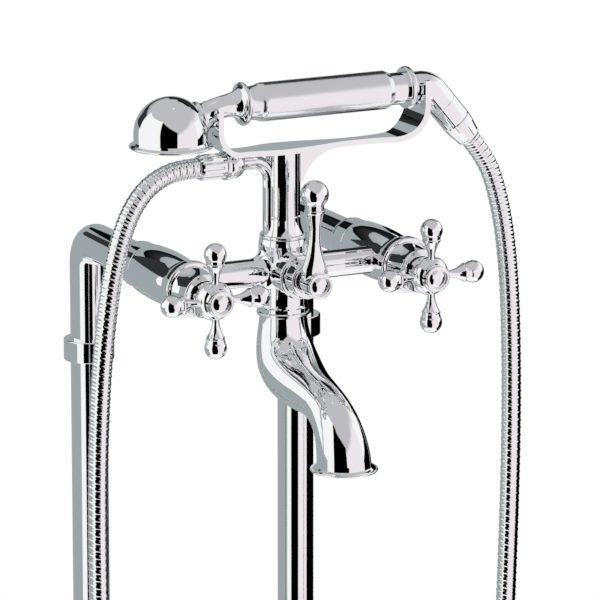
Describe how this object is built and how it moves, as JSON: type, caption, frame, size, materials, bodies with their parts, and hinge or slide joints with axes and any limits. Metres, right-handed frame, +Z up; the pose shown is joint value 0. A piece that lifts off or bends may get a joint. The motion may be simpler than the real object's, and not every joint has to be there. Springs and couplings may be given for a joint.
{
  "type": "floor standing bath filler",
  "caption": "Floor standing bath and shower mixer on two standpipes, with cross handles, a diverter lever, a curved spout, and a hand shower resting in a forked cradle on a hose.",
  "frame": {"origin": "on the floor, midway between the two standpipes, at the centre of the floor fixings", "axes": "+Z up, -Y to the front where the spout reaches over the bath, +X to the viewer's right"},
  "size_m": [0.3075, 0.2813, 0.9827],
  "materials": {
    "polished_chrome": "mirror polished plating",
    "grip_chrome": "mirror polished plating",
    "hose_chrome": "plated wound strip",
    "raw_brass": "machined",
    "stainless_steel": "satin",
    "black_rubber": "matt",
    "ceramic": "ground ceramic",
    "white_plastic": "matt"
  },
  "bodies": {
    "stand": {"floor_plate_left": "stainless_steel", "grub_screws_left": "stainless_steel", "floor_rose_left": "polished_chrome", "standpipe_left": "polished_chrome", "standpipe_collar_left": "polished_chrome", "inner_sleeve_left": "raw_brass", "inlet_bend_left": "polished_chrome", "union_washer_left": "black_rubber", "union_nut_left": "polished_chrome", "valve_cover_left": "polished_chrome", "headwork_left": "raw_brass", "seat_seal_left": "black_rubber", "fixed_disc_left": "ceramic", "floor_plate_right": "stainless_steel", "grub_screws_right": "stainless_steel", "floor_rose_right": "polished_chrome", "standpipe_right": "polished_chrome", "standpipe_collar_right": "polished_chrome", "inner_sleeve_right": "raw_brass", "inlet_bend_right": "polished_chrome", "union_washer_right": "black_rubber", "union_nut_right": "polished_chrome", "valve_cover_right": "polished_chrome", "headwork_right": "raw_brass", "seat_seal_right": "black_rubber", "fixed_disc_right": "ceramic", "mixer_body": "polished_chrome", "diverter_cover": "polished_chrome", "diverter_headwork": "raw_brass", "riser_column": "polished_chrome", "cradle": "polished_chrome", "spout": "polished_chrome", "aerator": "white_plastic", "fluted_nut": "polished_chrome", "shower_hose": "hose_chrome"},
    "cross_left": {"turning_disc_left": "ceramic", "spindle_left": "raw_brass", "cross_handle_left": "polished_chrome", "handle_screw_left": "stainless_steel", "handle_button_left": "polished_chrome"},
    "cross_right": {"turning_disc_right": "ceramic", "spindle_right": "raw_brass", "cross_handle_right": "polished_chrome", "handle_screw_right": "stainless_steel", "handle_button_right": "polished_chrome"},
    "diverter": {"diverter_spool": "white_plastic", "diverter_spindle": "raw_brass", "diverter_lever": "polished_chrome", "lever_screw": "stainless_steel", "lever_button": "polished_chrome"},
    "handset": {"shower_bell": "polished_chrome", "spray_plate": "polished_chrome", "plate_screw": "stainless_steel", "handset_neck": "polished_chrome", "grip": "grip_chrome", "rear_neck": "polished_chrome", "handset_elbow": "polished_chrome", "hose_adapter": "polished_chrome", "cone_nut": "polished_chrome"}
  },
  "joints": [
    {"name": "cross_left_turn", "type": "hinge", "parent": "stand", "child": "cross_left", "pos_m": [-0.075, -0.1925, 0.86], "axis": [0, -1, 0], "range_deg": [0, 90]},
    {"name": "cross_right_turn", "type": "hinge", "parent": "stand", "child": "cross_right", "pos_m": [0.075, -0.1925, 0.86], "axis": [0, -1, 0], "range_deg": [-90, 0]},
    {"name": "diverter_turn", "type": "hinge", "parent": "stand", "child": "diverter", "pos_m": [0, -0.1785, 0.86], "axis": [0, -1, 0], "range_deg": [-45, 45]},
    {"name": "handset_lift", "type": "slide", "parent": "stand", "child": "handset", "axis": [0, 0, 1], "range_m": [0, 0.06]}
  ]
}
